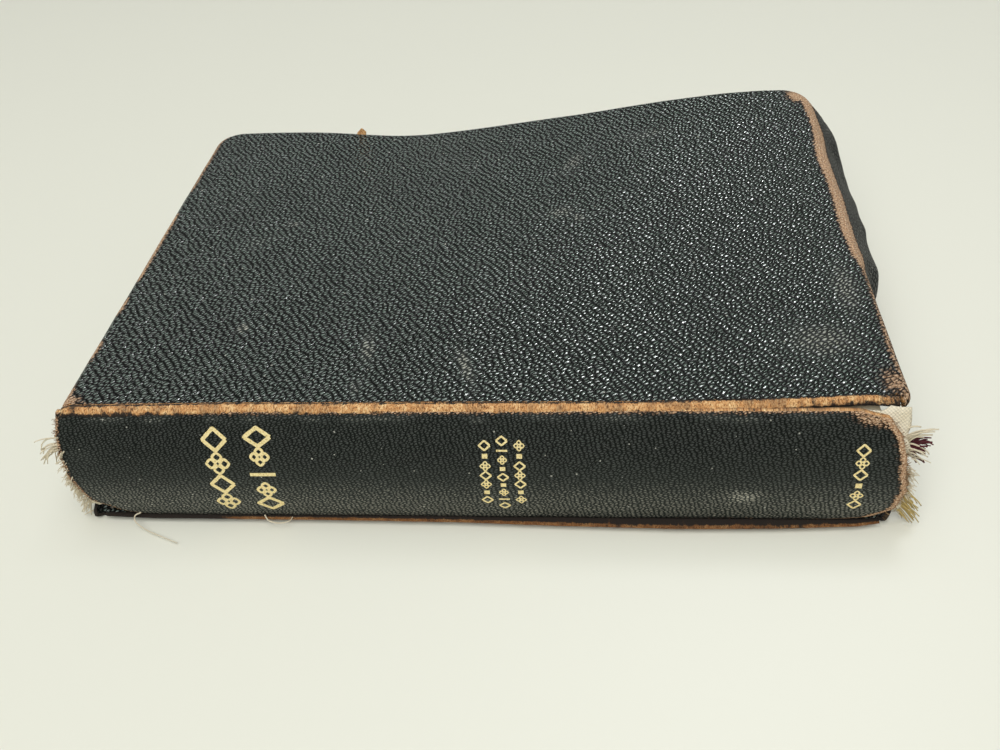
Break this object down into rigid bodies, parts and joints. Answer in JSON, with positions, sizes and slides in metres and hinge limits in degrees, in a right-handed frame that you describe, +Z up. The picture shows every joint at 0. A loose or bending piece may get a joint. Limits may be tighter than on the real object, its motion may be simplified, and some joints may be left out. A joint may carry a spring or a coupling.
{
  "type": "bible",
  "caption": "Worn limp-leather bible with overlapping turned edges, sewn gatherings and a rounded spine; covers, flyleaves and text block open on hinges.",
  "frame": {"origin": "middle of the back cover's outer face, where the book rests", "axes": "+X along the spine from head to tail, +Y from the spine to the fore-edge, +Z up through the thickness"},
  "size_m": [0.2155, 0.1523, 0.0432],
  "materials": {
    "leather": "pebbled morocco, semi-gloss, worn tan at the edges",
    "board": "thin flexible board",
    "endpaper": "matte",
    "bible_paper": "thin matte paper with worn gilt edges",
    "kraft_paper": "matte",
    "mull": "open-weave cotton, glue-stiffened",
    "thread": "linen thread",
    "band": "striped cotton band"
  },
  "bodies": {
    "back_cover": {"back_cover_leather": "leather", "back_cover_board": "board", "back_pastedown": "endpaper"},
    "rear_block": {"gathering_11": "bible_paper", "gathering_12": "bible_paper", "gathering_13": "bible_paper", "gathering_14": "bible_paper", "gathering_15": "bible_paper", "gathering_16": "bible_paper", "gathering_17": "bible_paper", "gathering_18": "bible_paper", "gathering_19": "bible_paper", "gathering_20": "bible_paper", "spine_leather": "leather", "spine_lining_paper": "kraft_paper", "spine_mull": "mull", "sewing_stitches_1": "thread", "sewing_stitches_2": "thread", "sewing_stitches_3": "thread", "sewing_stitches_4": "thread", "sewing_stitches_5": "thread", "head_band": "band", "tail_band": "band"},
    "front_block": {"gathering_01": "bible_paper", "gathering_02": "bible_paper", "gathering_03": "bible_paper", "gathering_04": "bible_paper", "gathering_05": "bible_paper", "gathering_06": "bible_paper", "gathering_07": "bible_paper", "gathering_08": "bible_paper", "gathering_09": "bible_paper", "gathering_10": "bible_paper"},
    "front_cover": {"front_cover_leather": "leather", "front_cover_board": "board", "front_pastedown": "endpaper"},
    "front_flyleaf": {"front_flyleaf": "endpaper"},
    "back_flyleaf": {"back_flyleaf": "endpaper"}
  },
  "joints": [
    {"name": "back_cover_opening", "type": "hinge", "parent": "back_cover", "child": "rear_block", "pos_m": [0, -0.072, 0], "axis": [1, 0, 0], "range_deg": [0, 90]},
    {"name": "middle_opening", "type": "hinge", "parent": "rear_block", "child": "front_block", "pos_m": [0, -0.07185, 0.01675], "axis": [1, 0, 0], "range_deg": [0, 120], "deforming": ["spine_leather", "spine_lining_paper", "spine_mull", "sewing_stitches_1", "sewing_stitches_2", "sewing_stitches_3", "sewing_stitches_4", "sewing_stitches_5", "head_band", "tail_band"]},
    {"name": "front_cover_opening", "type": "hinge", "parent": "front_block", "child": "front_cover", "pos_m": [0, -0.0645, 0.0335], "axis": [1, 0, 0], "range_deg": [0, 150]},
    {"name": "front_flyleaf_turn", "type": "hinge", "parent": "front_block", "child": "front_flyleaf", "pos_m": [0, -0.0605, 0.03012], "axis": [1, 0, 0], "range_deg": [0, 105]},
    {"name": "back_flyleaf_turn", "type": "hinge", "parent": "back_cover", "child": "back_flyleaf", "pos_m": [0, -0.068, 0.00337], "axis": [1, 0, 0], "range_deg": [0, 9]}
  ],
  "couplings": [
    {"joint": "front_flyleaf_turn", "follows": "front_cover_opening", "ratio": 0.7},
    {"joint": "back_flyleaf_turn", "follows": "back_cover_opening", "ratio": 0.1}
  ]
}
